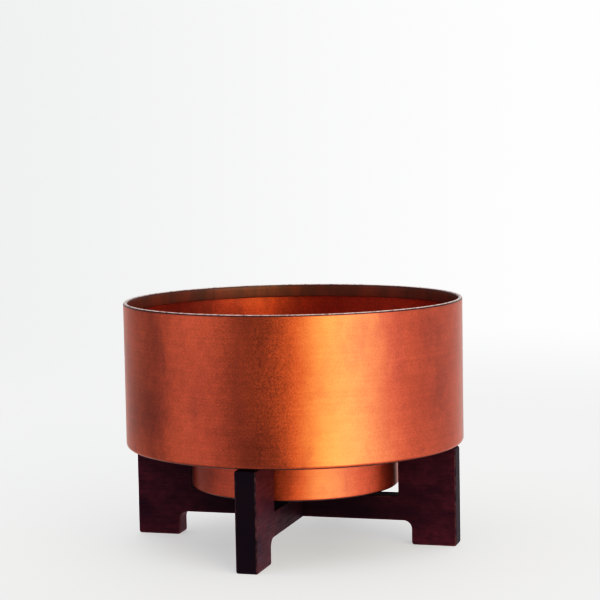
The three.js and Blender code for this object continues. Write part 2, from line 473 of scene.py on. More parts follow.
@dataclass(frozen=True)
class EspressoStain:
    """Dark, reddish espresso stain under a thin satin seal, on close-grained wood.

    Args:
        name: The material's name.
        axis: The way the grain runs.
        reach: Half the board's length; the end grain beyond it drinks more stain.
        dark: Stain in the pores and the late wood, and the colour of the painted shadow in the middle.
        middle: Stain on most of the surface.
        light: Stain where the wood took less of it.
        end: Stain on the end grain.
        edge: Wood that shows through on rubbed arrises.
        dust: Colour of the dust on faces that look up.
        sheen: Tint of the seal's shine.
        index: The seal's index of refraction.
        gloss: Strength of the seal's shine.
        shadow_full_to: Distance from the middle up to which the painted shadow of the pot is darkest.
        shadow_gone_from: Distance from the middle beyond which there is no painted shadow.
        relief: Depth of the grain.
    """

    name: str
    axis: GrainAxis
    reach: float
    dark: Colour = (0.0088, 0.0028, 0.0115)
    middle: Colour = (0.042, 0.0095, 0.0245)
    light: Colour = (0.112, 0.0240, 0.0420)
    end: Colour = (0.0115, 0.0075, 0.0160)
    edge: Colour = (0.17, 0.075, 0.075)
    dust: Colour = (0.35, 0.32, 0.30)
    sheen: Colour = (0.88, 0.74, 1.0)
    index: float = 1.38
    gloss: float = 0.32
    shadow_full_to: float = 46 * MM
    shadow_gone_from: float = 76 * MM
    relief: float = 0.005 * MM

    def material(self) -> Material:
        """Builds the material.

        Returns:
            The material.
        """
        made, bench, shader = new_material(self.name)
        place = bench.own_place()
        plank = bench.stretched(place, (1, 1, 1), (0, 0, self.axis.value))
        figure = bench.effect(wood_figure, Place=plank)
        blotch = bench.effect(clouding, Place=bench.stretched(plank, (0.5, 1, 1)), Per_Metre=70.0)
        mottle = bench.effect(clouding, Place=bench.stretched(plank, (0.7, 1, 1)), Per_Metre=330.0)
        wear_and_painted_shade = bench.effect(edge_wear_and_shade, Place=plank, Per_Metre=190.0, Amount=0.50)["Worn"]
        dust = bench.effect(settled_dust, Place=place, Amount=0.05)["Dust"]
        along = bench.maths("ABSOLUTE", bench.parts_of(plank)[0])
        ends = bench.between(along, self.reach - 0.9 * MM, self.reach - 0.3 * MM)
        # painted shadow: the boards darkened towards the middle, where the pot's shadow falls on the
        # crossing
        painted_pot_shadow = bench.between(along, self.shadow_full_to, self.shadow_gone_from, 1.0, 0.0)
        base = bench.layered(
            bench.mix(blotch["Cloud"], self.middle, self.light),
            (mottle["Cloud"], 0.50, self.middle),
            (figure["Rings"], 0.06, self.dark),
            (figure["Fibre"], 0.09, self.light),
            # painted shadow of the pot, in the dark stain colour
            (painted_pot_shadow, 0.55, self.dark),
            (figure["Pores"], 0.55, self.dark),
            (ends, 0.92, self.end),
            (wear_and_painted_shade, 0.45, self.edge),
            (dust, 1.0, self.dust),
        )
        bench.feed(shader.inputs["Base Color"], base)
        rough = bench.between(figure["Fibre"], 0.0, 1.0, 0.44, 0.56)
        bench.feed(shader.inputs["Roughness"], bench.plus(rough, dust))
        shader.inputs["IOR"].default_value = self.index
        shader.inputs["Specular IOR Level"].default_value = self.gloss
        shader.inputs["Specular Tint"].default_value = (*self.sheen, 1.0)
        sunk = bench.minus(figure["Fibre"], figure["Pores"])
        raise_bump(bench, shader, bench.plus(sunk, bench.times(figure["Rings"], 0.2)), self.relief)
        return made


@dataclass(frozen=True)
class RubberFinish:
    """Moulded rubber with a faint bloom and fine pits.

    Args:
        name: The material's name.
        colour: The rubber's colour.
        bloom: The paler film on it.
        roughness: Middle of its roughness.
        dust: Colour of the dust on faces that look up.
        pits: Depth of the pits.
    """

    name: str
    colour: Colour
    bloom: Colour
    roughness: float
    dust: Colour = (0.30, 0.28, 0.25)
    pits: float = 0.03 * MM

    def material(self) -> Material:
        """Builds the material.

        Returns:
            The material.
        """
        made, bench, shader = new_material(self.name)
        place = bench.own_place()
        grain = bench.effect(fine_grain, Place=place, Per_Metre=2600.0)["Grain"]
        cloud = bench.effect(clouding, Place=place, Per_Metre=160.0)["Cloud"]
        wear_and_painted_shade = bench.effect(edge_wear_and_shade, Place=place, Per_Metre=500.0, Amount=0.55)["Worn"]
        dust = bench.effect(settled_dust, Place=place, Amount=0.25)["Dust"]
        base = bench.layered(
            self.colour, (cloud, 0.6, self.bloom), (wear_and_painted_shade, 0.5, self.bloom), (dust, 1.0, self.dust)
        )
        bench.feed(shader.inputs["Base Color"], base)
        spread = 0.06
        rough = bench.between(cloud, 0.0, 1.0, self.roughness - spread, self.roughness + spread)
        bench.feed(shader.inputs["Roughness"], rough)
        raise_bump(bench, shader, grain, self.pits)
        return made


@dataclass(frozen=True)
class PaleSweep:
    """The pale floor, lit a little from within, which fades away towards its rim.

    Args:
        name: The material's name.
        colour: The floor's colour.
        darkest: Factor on the colour in its darkest clouds.
        glow: Strength of its own light.
        near_glow: Factor on that light in front of the object.
        far_y: Y beyond which its light is full.
        near_y: Y before which its light is least.
        roughness: The floor's roughness.
        fade_from: Radius at which it starts to fade.
        fade_to: Radius at which it is gone.
    """

    name: str
    colour: Colour = (0.412, 0.418, 0.432)
    darkest: float = 0.985
    glow: float = 0.355
    near_glow: float = 0.79
    far_y: float = -0.10
    near_y: float = -0.34
    roughness: float = 0.7
    fade_from: float = 0.50
    fade_to: float = 1.25

    def material(self) -> Material:
        """Builds the material.

        Returns:
            The material.
        """
        made, bench, shader = new_material(self.name)
        place = bench.own_place()
        cloud = bench.effect(clouding, Place=place, Per_Metre=6.0)["Cloud"]
        darker = tuple(channel * self.darkest for channel in self.colour)
        bench.feed(shader.inputs["Base Color"], bench.mix(cloud, darker, self.colour))
        shader.inputs["Roughness"].default_value = self.roughness
        x, y, _ = bench.parts_of(place)
        nearer = bench.between(y, self.near_y, self.far_y, 1.0, 0.0)
        light = bench.mix(nearer, WHITE, (self.near_glow,) * 3)
        bench.feed(shader.inputs["Emission Color"], light)
        shader.inputs["Emission Strength"].default_value = self.glow
        shown = bench.between(bench.reach(x, y), self.fade_from, self.fade_to, 1.0, 0.0)
        bench.feed(shader.inputs["Alpha"], shown)
        return made


# --- Making meshes ----------------------------------------------------------------------------------


class Corner(NamedTuple):
    """A corner of an outline: distance along or out, height, and the radius it is rounded to."""

    out: float
    height: float
    rounding: float = 0.0


def outline_face(mesh: BMesh, corners: Sequence[Corner], segments: int) -> BMFace:
    """Draws a flat outline in the XZ plane, with rounded corners.

    Args:
        mesh: The mesh to draw in, empty before.
        corners: The outline's corners in order.
        segments: Segments of each rounded corner.

    Returns:
        The outline's face.
    """
    drawn = [mesh.verts.new((corner.out, 0.0, corner.height)) for corner in corners]
    mesh.faces.new(drawn)
    for rounding in sorted({corner.rounding for corner in corners if corner.rounding > 0}):
        bmesh.ops.bevel(
            mesh,
            geom=[vert for vert, corner in zip(drawn, corners) if corner.rounding == rounding],
            offset=rounding,
            offset_type="OFFSET",
            affect="VERTICES",
            segments=segments,
            profile=0.5,
            material=-1,
            clamp_overlap=False,
        )
    mesh.faces.ensure_lookup_table()
    return mesh.faces[0]


def divide_long_edges(mesh: BMesh, longest: float) -> None:
    """Divides a mesh's edges until none is longer than a limit.

    Args:
        mesh: The mesh.
        longest: The limit, in metres.
    """
    for edge in mesh.edges[:]:
        cuts = math.ceil(edge.calc_length() / longest) - 1
        if cuts > 0:
            bmesh.ops.subdivide_edges(mesh, edges=[edge], cuts=cuts)


def turned_mesh(
    corners: Sequence[Corner], steps: int, segments: int = CORNER_SEGMENTS, longest: float = 3 * MM
) -> BMesh:
    """Turns a closed outline about Z.

    Args:
        corners: The outline, with distances from the axis; it may touch the axis.
        steps: Facets round the axis.
        segments: Segments of each rounded corner.
        longest: Longest facet along the outline, in metres.

    Returns:
        A closed mesh with its faces outwards.
    """
    mesh = bmesh.new()
    face = outline_face(mesh, corners, segments)
    bmesh.ops.delete(mesh, geom=[face], context="FACES_ONLY")
    on_axis = [edge for edge in mesh.edges if all(vert.co.x < WELD_DISTANCE for vert in edge.verts)]
    bmesh.ops.delete(mesh, geom=on_axis, context="EDGES")
    divide_long_edges(mesh, longest)
    bmesh.ops.spin(
        mesh,
        geom=mesh.verts[:] + mesh.edges[:],
        cent=(0, 0, 0),
        axis=(0, 0, 1),
        angle=2 * math.pi,
        steps=steps,
        use_merge=True,
    )
    bmesh.ops.remove_doubles(mesh, verts=mesh.verts[:], dist=WELD_DISTANCE)
    bmesh.ops.recalc_face_normals(mesh, faces=mesh.faces[:])
    return mesh


def paint_edges(mesh: BMesh, rule: Callable[[Vector], float]) -> None:
    """Paints how exposed each vertex is to wear.

    Args:
        mesh: The mesh.
        rule: Gives the amount, 0 to 1, at a position.
    """
    layer = mesh.verts.layers.float.get(EDGE_ATTRIBUTE) or mesh.verts.layers.float.new(EDGE_ATTRIBUTE)
    for vert in mesh.verts:
        vert[layer] = max(vert[layer], rule(vert.co))


def rise(value: float, low: float, high: float) -> float:
    """Smooth step from 0 at low to 1 at high."""
    share = min(1.0, max(0.0, (value - low) / (high - low)))
    return share * share * (3 - 2 * share)


def put_in_scene(name: str, data: ID) -> Object:
    """Makes an object in the scene.

    Args:
        name: Its name.
        data: Its mesh or camera.

    Returns:
        The object, at the origin.
    """
    made = bpy.data.objects.new(name, data)
    bpy.context.scene.collection.objects.link(made)
    return made


@dataclass(frozen=True)
class Piece:
    """What a finished piece is called, what it stands for, and what it moves with.

    Args:
        name: Its name.
        node: The CAD node it replaces.
        body: The CAD body it rides on.
        slot: The record's material slot.
        sharp_above: Edges at a larger angle than this stay sharp, in degrees.
    """

    name: str
    node: str
    body: str
    slot: str
    sharp_above: float = 40.0

    def finish(self, mesh: BMesh, material: Material) -> Object:
        """Makes the piece's object.

        Args:
            mesh: Its mesh, in place; it is freed.
            material: Its material.

        Returns:
            The object.
        """
        data = bpy.data.meshes.new(self.name)
        for face in mesh.faces:
            face.smooth = True
        mesh.to_mesh(data)
        mesh.free()
        data.set_sharp_from_angle(angle=math.radians(self.sharp_above))
        data.materials.append(material)
        made = put_in_scene(self.name, data)
        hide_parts(self.node)
        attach(made, self.body)
        LOG.info("%s: %d faces, rides on %s", self.name, len(data.polygons), self.body)
        return made


# --- The pot ----------------------------------------------------------------------------------------


@dataclass
class Pot:
    """The metal pot: the drum with its hemmed rim, and the base cup that hangs in its shoulder.

    Args:
        radius: Outside of the drum.
        shoulder_z: Underside of the drum's shoulder.
        rim_z: Top of the rim.
        cup_bottom_z: Underside of the base cup.
        flange_radius: Outside of the cup's flange.
        sheet: Thickness of the metal.
        shoulder_rounding: Outside radius of the bend from wall to shoulder.
        hem_height: Height of the hem that is folded down inside the rim.
        hem_slit: Gap between the hem's edge and the wall.
        slit_depth: How far that gap goes up.
        cup_clearance: Gap between the cup and the edge of the shoulder's hole.
        flange_width: How far the flange goes past that edge.
        cup_rounding: Outside radius of the cup's bottom edge.
        drain_radius: Radius of the drain hole.
        burr: Rounding of a cut edge.
        unevenness: How far the wall's faint dents go in and out.
        weld_count: Number of spot welds round the flange.
        weld_radius: Radius of a weld's mark.
        weld_depth: Depth of a weld's mark.
        steps: Facets round the axis.
    """

    radius: float
    shoulder_z: float
    rim_z: float
    cup_bottom_z: float
    flange_radius: float
    sheet: float = 1.2 * MM
    shoulder_rounding: float = 2.4 * MM
    hem_height: float = 8.0 * MM
    hem_slit: float = 0.15 * MM
    slit_depth: float = 3.0 * MM
    cup_clearance: float = 0.3 * MM
    flange_width: float = 6.0 * MM
    cup_rounding: float = 1.6 * MM
    drain_radius: float = 8.0 * MM
    burr: float = 0.2 * MM
    unevenness: float = 0.14 * MM
    weld_count: int = 12
    weld_radius: float = 2.3 * MM
    weld_depth: float = 0.35 * MM
    steps: int = 288

    @classmethod
    def in_frame(cls) -> "Pot":
        """Takes the pot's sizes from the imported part.

        Returns:
            The pot.
        """
        drum_low, drum_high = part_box("drum_shell")
        cup_low, cup_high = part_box("base_cup")
        return cls(drum_high.x, drum_low.z, drum_high.z, cup_low.z, cup_high.x)

    @property
    def hole_radius(self) -> float:
        """Radius of the hole in the shoulder."""
        return self.flange_radius - self.flange_width

    @property
    def cup_radius(self) -> float:
        """Outside of the base cup."""
        return self.hole_radius - self.cup_clearance

    def drum_mesh(self) -> BMesh:
        """Builds the drum from one folded sheet, with the hem's edge just clear of the wall.

        Returns:
            The drum, closed and in place.
        """
        inside = self.radius - self.sheet
        hem_outside = inside - self.hem_slit
        hem_inside = hem_outside - self.sheet
        hem_z = self.rim_z - self.hem_height
        floor_z = self.shoulder_z + self.sheet
        mesh = turned_mesh(
            [
                Corner(self.hole_radius, self.shoulder_z, self.burr),
                Corner(self.radius, self.shoulder_z, self.shoulder_rounding),
                Corner(self.radius, self.rim_z, self.sheet),
                Corner(hem_inside, self.rim_z, self.sheet),
                Corner(hem_inside, hem_z, 0.3 * MM),
                Corner(hem_outside, hem_z, 0.3 * MM),
                Corner(hem_outside, hem_z + self.slit_depth),
                Corner(inside, hem_z + self.slit_depth),
                Corner(inside, floor_z, self.sheet),
                Corner(self.hole_radius, floor_z, self.burr),
            ],
            self.steps,
        )
        self._dent(mesh)
        paint_edges(mesh, self._rim_wear_and_shade)
        return mesh

    def _rim_wear_and_shade(self, place: Vector) -> float:
        """Tells how the drum is painted: a dark band under the rim's crest that is partly tarnish and
        partly painted dark reflection, the crest rubbed bare, and painted shade under the shoulder.

        Args:
            place: A place on it.

        Returns:
            The amount to paint there, 0 to 1.
        """
        # painted dark reflection, partly tarnish: the dark band just under the rim's crest
        below = rise(place.z, self.rim_z - 1.5 * MM, self.rim_z - 0.7 * MM)
        crest = rise(place.z, self.rim_z - 0.55 * MM, self.rim_z - 0.25 * MM)
        # painted shade: the underside of the shoulder and the foot of the wall, darkened as if in the shade
        # under the drum
        painted_foot_shade = 1.0 - rise(place.z, self.shoulder_z + 0.2 * MM, self.shoulder_z + 1.6 * MM)
        return max(0.5 * below + 0.5 * crest, 0.4 * painted_foot_shade)

    def _dent(self, mesh: BMesh) -> None:
        """Gives the wall the slight unevenness of formed sheet, and leaves the shoulder true.

        Args:
            mesh: The drum.
        """
        dents_round, dent_height = 1.7, 70 * MM
        for vert in mesh.verts:
            out = Vector((vert.co.x, vert.co.y, 0.0))
            around = out.normalized()
            spot = Vector((around.x * dents_round, around.y * dents_round, vert.co.z / dent_height))
            weight = rise(vert.co.z, self.shoulder_z + self.sheet, self.shoulder_z + 18 * MM)
            weight *= rise(out.length, self.radius - 12 * MM, self.radius - 4 * MM)
            vert.co += around * (noise.noise(spot) * self.unevenness * weight)

    def cup_mesh(self) -> BMesh:
        """Builds the drawn cup, with its flange spot-welded on the shoulder.

        Returns:
            The cup, closed and in place.
        """
        inside = self.cup_radius - self.sheet
        ledge_z = self.shoulder_z + self.sheet
        floor_z = self.cup_bottom_z + self.sheet
        mesh = turned_mesh(
            [
                Corner(self.drain_radius, self.cup_bottom_z, self.burr),
                Corner(self.cup_radius, self.cup_bottom_z, self.cup_rounding),
                Corner(self.cup_radius, ledge_z),
                Corner(self.flange_radius, ledge_z, self.burr),
                Corner(self.flange_radius, ledge_z + self.sheet, 0.4 * MM),
                Corner(inside, ledge_z + self.sheet, self.sheet),
                Corner(inside, floor_z, self.cup_rounding - self.sheet),
                Corner(self.drain_radius, floor_z, self.burr),
            ],
            self.steps,
            longest=1.6 * MM,
        )
        self._press_welds(mesh, ledge_z + self.sheet)
        paint_edges(mesh, self._seam_shade_and_wear)
        return mesh

    def _seam_shade_and_wear(self, place: Vector) -> float:
        """Tells how the cup is painted: painted shade just under the shoulder and along its foot, and
        tarnish on the flange's edge.

        Args:
            place: A place on it.

        Returns:
            The amount to paint there, 0 to 1.
        """
        flange_edge = rise(math.hypot(place.x, place.y), self.flange_radius - 0.6 * MM, self.flange_radius)
        # painted shade: the cup darkened where it goes up into the shoulder's hole
        under = rise(place.z, self.shoulder_z - 1.6 * MM, self.shoulder_z - 0.2 * MM)
        under *= 1.0 - rise(place.z, self.shoulder_z + 0.6 * MM, self.shoulder_z + self.sheet)
        # painted shade: darker along the cup's bottom edge and underside
        foot = 1.0 - rise(place.z, self.cup_bottom_z + 0.3 * MM, self.cup_bottom_z + 1.5 * MM)
        return max(0.35 * flange_edge, 0.45 * under, 0.4 * foot)

    def _press_welds(self, mesh: BMesh, top_z: float) -> None:
        """Presses the round spot-weld marks into the flange.

        Args:
            mesh: The cup.
            top_z: Top of the flange.
        """
        circle = self.cup_radius + self.flange_width * 0.55
        top = [vert for vert in mesh.verts if abs(vert.co.z - top_z) < self.burr]
        for number in range(self.weld_count):
            turn = Matrix.Rotation(2 * math.pi * (number + 0.5) / self.weld_count, 3, "Z")
            centre = turn @ Vector((circle, 0.0, top_z))
            for vert in top:
                near = 1.0 - math.hypot(vert.co.x - centre.x, vert.co.y - centre.y) / self.weld_radius
                if near > 0:
                    vert.co.z -= self.weld_depth * rise(near, 0.0, 0.7)

    def build(self) -> list[Object]:
        """Builds and dresses the pot.

        Returns:
            The drum and the cup.
        """
        drum_finish = CopperFinish("drum copper", self.radius - self.sheet).material()
        # painted shade: the cup's copper is a darker copy of the drum's, for its place in the shade under
        # the shoulder
        cup_copper_with_painted_shade = CopperFinish(
            "cup copper",
            self.cup_radius - self.sheet,
            deep=(0.63, 0.140, 0.082),
            bright=(0.78, 0.185, 0.104),
            roughness=0.45,
            lines_depth=0.007 * MM,
        ).material()
        return [
            Piece("drum", "drum_shell", "pot", "drum_copper").finish(self.drum_mesh(), drum_finish),
            Piece("cup", "base_cup", "pot", "cup_copper").finish(self.cup_mesh(), cup_copper_with_painted_shade),
        ]


@dataclass
class DrainPlug:
    """The moulded rubber plug in the cup's drain hole, with a knob to pull it by.

    Args:
        bottom_z: Underside of the neck.
        top_z: Top of the knob.
        head_radius: Outside of the head.
        floor: Thickness of the floor that the neck goes through.
        neck_radius: Outside of the neck, under the head.
        taper: How much less that is at the neck's end.
        cup_edge: Width of the neck's rim round the hollow in its end.
        head_height: Height of the head.
        knob_radius: Outside of the knob.
        waist_radius: Outside of the waist under the knob.
        waist_height: Height of that waist.
        groove_radius: Middle of the groove in the head's top.
        groove_depth: Depth of that groove.
        steps: Facets round the axis.
    """

    bottom_z: float
    top_z: float
    head_radius: float
    floor: float = 1.2 * MM
    neck_radius: float = 7.7 * MM
    taper: float = 0.6 * MM
    cup_edge: float = 2.0 * MM
    head_height: float = 2.5 * MM
    knob_radius: float = 3.5 * MM
    waist_radius: float = 2.5 * MM
    waist_height: float = 2.6 * MM
    groove_radius: float = 9.0 * MM
    groove_depth: float = 0.5 * MM
    steps: int = 96

    @classmethod
    def in_frame(cls) -> "DrainPlug":
        """Takes the plug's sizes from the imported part."""
        low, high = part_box("drain_plug")
        return cls(low.z, high.z, high.y)

    def mesh(self) -> BMesh:
        """Builds the plug.

        Returns:
            The plug, closed and in place.
        """
        hollow_z = self.bottom_z + 0.6 * MM
        head_z = self.bottom_z + self.floor
        deck_z = head_z + self.head_height
        groove_z = deck_z - self.groove_depth
        knob_z = deck_z + self.waist_height
        mesh = turned_mesh(
            [
                Corner(0.0, hollow_z),
                Corner(self.neck_radius - self.cup_edge - 0.6 * MM, hollow_z, 0.4 * MM),
                Corner(self.neck_radius - self.cup_edge, self.bottom_z, 0.3 * MM),
                Corner(self.neck_radius - self.taper, self.bottom_z, 0.3 * MM),
                Corner(self.neck_radius, head_z),
                Corner(self.head_radius, head_z, 0.3 * MM),
                Corner(self.head_radius, deck_z, 1.0 * MM),
                Corner(self.groove_radius + 0.9 * MM, deck_z, 0.3 * MM),
                Corner(self.groove_radius + 0.5 * MM, groove_z, 0.2 * MM),
                Corner(self.groove_radius - 0.5 * MM, groove_z, 0.2 * MM),
                Corner(self.groove_radius - 0.9 * MM, deck_z, 0.3 * MM),
                Corner(self.waist_radius, deck_z, 0.9 * MM),
                Corner(self.waist_radius, knob_z, 0.4 * MM),
                Corner(self.knob_radius, knob_z + 0.5 * MM, 0.4 * MM),
                Corner(self.knob_radius, self.top_z, 1.2 * MM),
                Corner(0.0, self.top_z),
            ],
            self.steps,
            segments=4,
            longest=0.8 * MM,
        )
        paint_edges(mesh, lambda place: rise(place.z, deck_z - 0.5 * MM, deck_z) * 0.6)
        return mesh

    def build(self) -> Object:
        """Builds and dresses the plug."""
        rubber = RubberFinish("plug rubber", (0.016, 0.016, 0.018), (0.040, 0.039, 0.040), 0.62)
        return Piece("plug", "drain_plug", "plug", "plug_rubber").finish(self.mesh(), rubber.material())


# --- The stand --------------------------------------------------------------------------------------


class SlotSide(Enum):
    """The edge of a board that its lap slot opens through."""

    TOP = "top"
    BOTTOM = "bottom"


@dataclass
class Board:
    """One board of the cross stand, with an arch below, a notch above and a lap slot in the middle.

    Args:
        piece: Its name and what it rides on.
        axis: The way it lies.
        slot_side: The edge its slot opens through.
        reach: Half its length.
        top_z: Top of its legs.
        thickness: Its thickness.
        arch_z: Top of the arch between its feet.
        notch_z: Bottom of the notch between its legs.
        notch_reach: Half the width of the notch.
        foot_width: Width of each foot.
        arch_rounding: Radius of the arch's upper corners.
        corner_rounding: Radius of the other corners.
        arris: Radius to which the long edges are rounded.
        slot_clearance: Gap round the other board in the lap.
    """

    piece: Piece
    axis: GrainAxis
    slot_side: SlotSide
    reach: float
    top_z: float
    thickness: float = 12.7 * MM
    arch_z: float = 14.3 * MM
    notch_z: float = 29.0 * MM
    notch_reach: float = 64.9 * MM
    foot_width: float = 27.0 * MM
    arch_rounding: float = 5.0 * MM
    corner_rounding: float = 1.6 * MM
    arris: float = 1.0 * MM
    slot_clearance: float = 0.2 * MM

    @classmethod
    def in_frame(cls, name: str, node: str, axis: GrainAxis, slot_side: SlotSide) -> "Board":
        """Takes a board's length and height from its CAD node, whose name is also its body's."""
        _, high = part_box(node)
        return cls(Piece(name, node, node, f"{node}_wood"), axis, slot_side, max(high.x, high.y), high.z)

    @property
    def slot_reach(self) -> float:
        """Half the width of the slot."""
        return self.thickness / 2 + self.slot_clearance

    def outline(self) -> list[Corner]:
        """Draws the board's outline, as if it lay along X.

        Returns:
            Its corners, in order round it.
        """
        arch_reach = self.reach - self.foot_width
        upwards = self.slot_side is SlotSide.TOP
        mouth_z = self.notch_z if upwards else self.arch_z
        middle_z = (self.arch_z + self.notch_z) / 2
        slot_z = middle_z - self.slot_clearance / 2 if upwards else middle_z + self.slot_clearance / 2
        slot = [
            Corner(self.slot_reach, mouth_z),
            Corner(self.slot_reach, slot_z),
            Corner(-self.slot_reach, slot_z),
            Corner(-self.slot_reach, mouth_z),
        ]
        feet = [
            Corner(self.reach, 0.0, self.corner_rounding),
            Corner(self.reach, self.top_z, self.corner_rounding),
            Corner(self.notch_reach, self.top_z, self.corner_rounding),
            Corner(self.notch_reach, self.notch_z, self.corner_rounding),
        ]
        arch = [
            Corner(-arch_reach, 0.0, self.corner_rounding),
            Corner(-arch_reach, self.arch_z, self.arch_rounding),
            Corner(arch_reach, self.arch_z, self.arch_rounding),
            Corner(arch_reach, 0.0, self.corner_rounding),
        ]
        mirrored = [Corner(-corner.out, corner.height, corner.rounding) for corner in reversed(feet)]
        if upwards:
            return [*feet, *slot, *mirrored, *arch]
        return [*feet, *mirrored, *arch[:2], *reversed(slot), *arch[2:]]

    def mesh(self) -> BMesh:
        """Builds the board.

        Returns:
            The board, closed and in place.
        """
        mesh = bmesh.new()
        face = outline_face(mesh, self.outline(), CORNER_SEGMENTS)
        bmesh.ops.translate(mesh, verts=mesh.verts[:], vec=(0, -self.thickness / 2, 0))
        grown = bmesh.ops.extrude_face_region(mesh, geom=[face], use_keep_orig=True)
        moved = [item for item in grown["geom"] if isinstance(item, BMVert)]
        bmesh.ops.translate(mesh, verts=moved, vec=(0, self.thickness, 0))
        bmesh.ops.recalc_face_normals(mesh, faces=mesh.faces[:])
        self._round_arrises(mesh)
        bmesh.ops.recalc_face_normals(mesh, faces=mesh.faces[:])
        turn = Matrix.Rotation(-self.axis.value, 3, "Z")
        bmesh.ops.rotate(mesh, verts=mesh.verts[:], cent=(0, 0, 0), matrix=turn)
        return mesh

    def _round_arrises(self, mesh: BMesh) -> None:
        """Rounds the long edges of both sides, up to the sawn slot.

        Args:
            mesh: The board, which lies along X.
        """
        layer = mesh.verts.layers.float.new(EDGE_ATTRIBUTE)
        around = [edge for edge in mesh.edges if edge.is_manifold and self._on_one_side(edge)]
        made = bmesh.ops.bevel(
            mesh,
            geom=[edge for edge in around if not self._in_slot(edge)],
            offset=self.arris,
            offset_type="OFFSET",
            affect="EDGES",
            segments=ARRIS_SEGMENTS,
            profile=0.5,
            material=-1,
            clamp_overlap=False,
        )
        rounded = set(made["faces"])
        for vert in {vert for face in rounded for vert in face.verts}:
            if all(face in rounded for face in vert.link_faces):
                vert[layer] = 1.0

    def _on_one_side(self, edge: BMEdge) -> bool:
        """Tells if an edge lies in one of the board's two broad sides, and not across it."""
        first, second = (vert.co.y for vert in edge.verts)
        return abs(abs(first) - self.thickness / 2) < WELD_DISTANCE and abs(first - second) < WELD_DISTANCE

    def _in_slot(self, edge: BMEdge) -> bool:
        """Tells if an edge is one of the slot's."""
        return all(abs(vert.co.x) < self.slot_reach + WELD_DISTANCE for vert in edge.verts)

    def build(self) -> Object:
        """Builds and dresses the board.

        Returns:
            The piece.
        """
        stain = EspressoStain(self.piece.slot.replace("_", " "), self.axis, self.reach)
        made = self.piece.finish(self.mesh(), stain.material())
        weighted = made.modifiers.new("even shading", "WEIGHTED_NORMAL")
        weighted.keep_sharp = True
        weighted.weight = 100
        return made


@dataclass
class Bumper:
    """A soft domed pad on a leg top.

    Args:
        piece: Its name and what it rides on.
        place: Its centre on the plan.
        bottom_z: The leg top.
        top_z: The shoulder that lies on it.
        radius: Its outside.
        steps: Facets round its axis.
    """

    piece: Piece
    place: Vector
    bottom_z: float
    top_z: float
    radius: float
    steps: int = 48

    @classmethod
    def in_frame(cls, side: str, body: str) -> "Bumper":
        """Takes a bumper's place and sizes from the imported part.

        Args:
            side: Which leg it is on.
            body: The CAD body it rides on.

        Returns:
            The bumper.
        """
        low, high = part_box(f"bumper_{side}")
        piece = Piece(f"pad_{side}", f"bumper_{side}", body, "bumper_rubber")
        centre = (low + high) / 2
        return cls(piece, Vector((centre.x, centre.y, 0.0)), low.z, high.z, (high.x - low.x) / 2)

    def build(self, material: Material) -> Object:
        """Builds and dresses the bumper.

        Args:
            material: The rubber it is moulded in.

        Returns:
            The piece.
        """
        mesh = turned_mesh(
            [
                Corner(0.0, self.bottom_z),
                Corner(self.radius, self.bottom_z, 0.12 * MM),
                Corner(self.radius, self.top_z, 0.55 * MM),
                Corner(0.0, self.top_z),
            ],
            self.steps,
            segments=5,
            longest=1.0 * MM,
        )
        bmesh.ops.translate(mesh, verts=mesh.verts[:], vec=self.place)
        paint_edges(mesh, lambda place: rise(place.z, self.top_z - 0.5 * MM, self.top_z) * 0.4)
        return self.piece.finish(mesh, material)


@dataclass
class CrossStand:
    """The knock-down stand: two halved boards and the pads on their leg tops.

    Args:
        pad_boards: The leg that each pad is on, and the board that the leg is part of.
    """

    pad_boards: tuple[tuple[str, str], ...] = (
        ("right", "lower_board"),
        ("left", "lower_board"),
        ("front", "upper_board"),
        ("rear", "upper_board"),
    )

    def build(self) -> list[Object]:
        """Builds and dresses the stand.

        Returns:
            Its six pieces.
        """
        lower = Board.in_frame("board_below", "lower_board", GrainAxis.ALONG_X, SlotSide.TOP)
        upper = Board.in_frame("board_above", "upper_board", GrainAxis.ALONG_Y, SlotSide.BOTTOM)
        rubber = RubberFinish("bumper rubber", (0.020, 0.018, 0.018), (0.045, 0.042, 0.040), 0.55)
        moulded = rubber.material()
        pads = [Bumper.in_frame(side, board).build(moulded) for side, board in self.pad_boards]
        return [lower.build(), upper.build(), *pads]


# --- The studio -------------------------------------------------------------------------------------


class DomeStop(NamedTuple):
    """Light of the studio's wall at one bearing, in degrees to the right of the camera's side.

    Its warmth is the share of its blue that it lacks.
    """

    bearing: float
    radiance: float
    warmth: float = 0.0


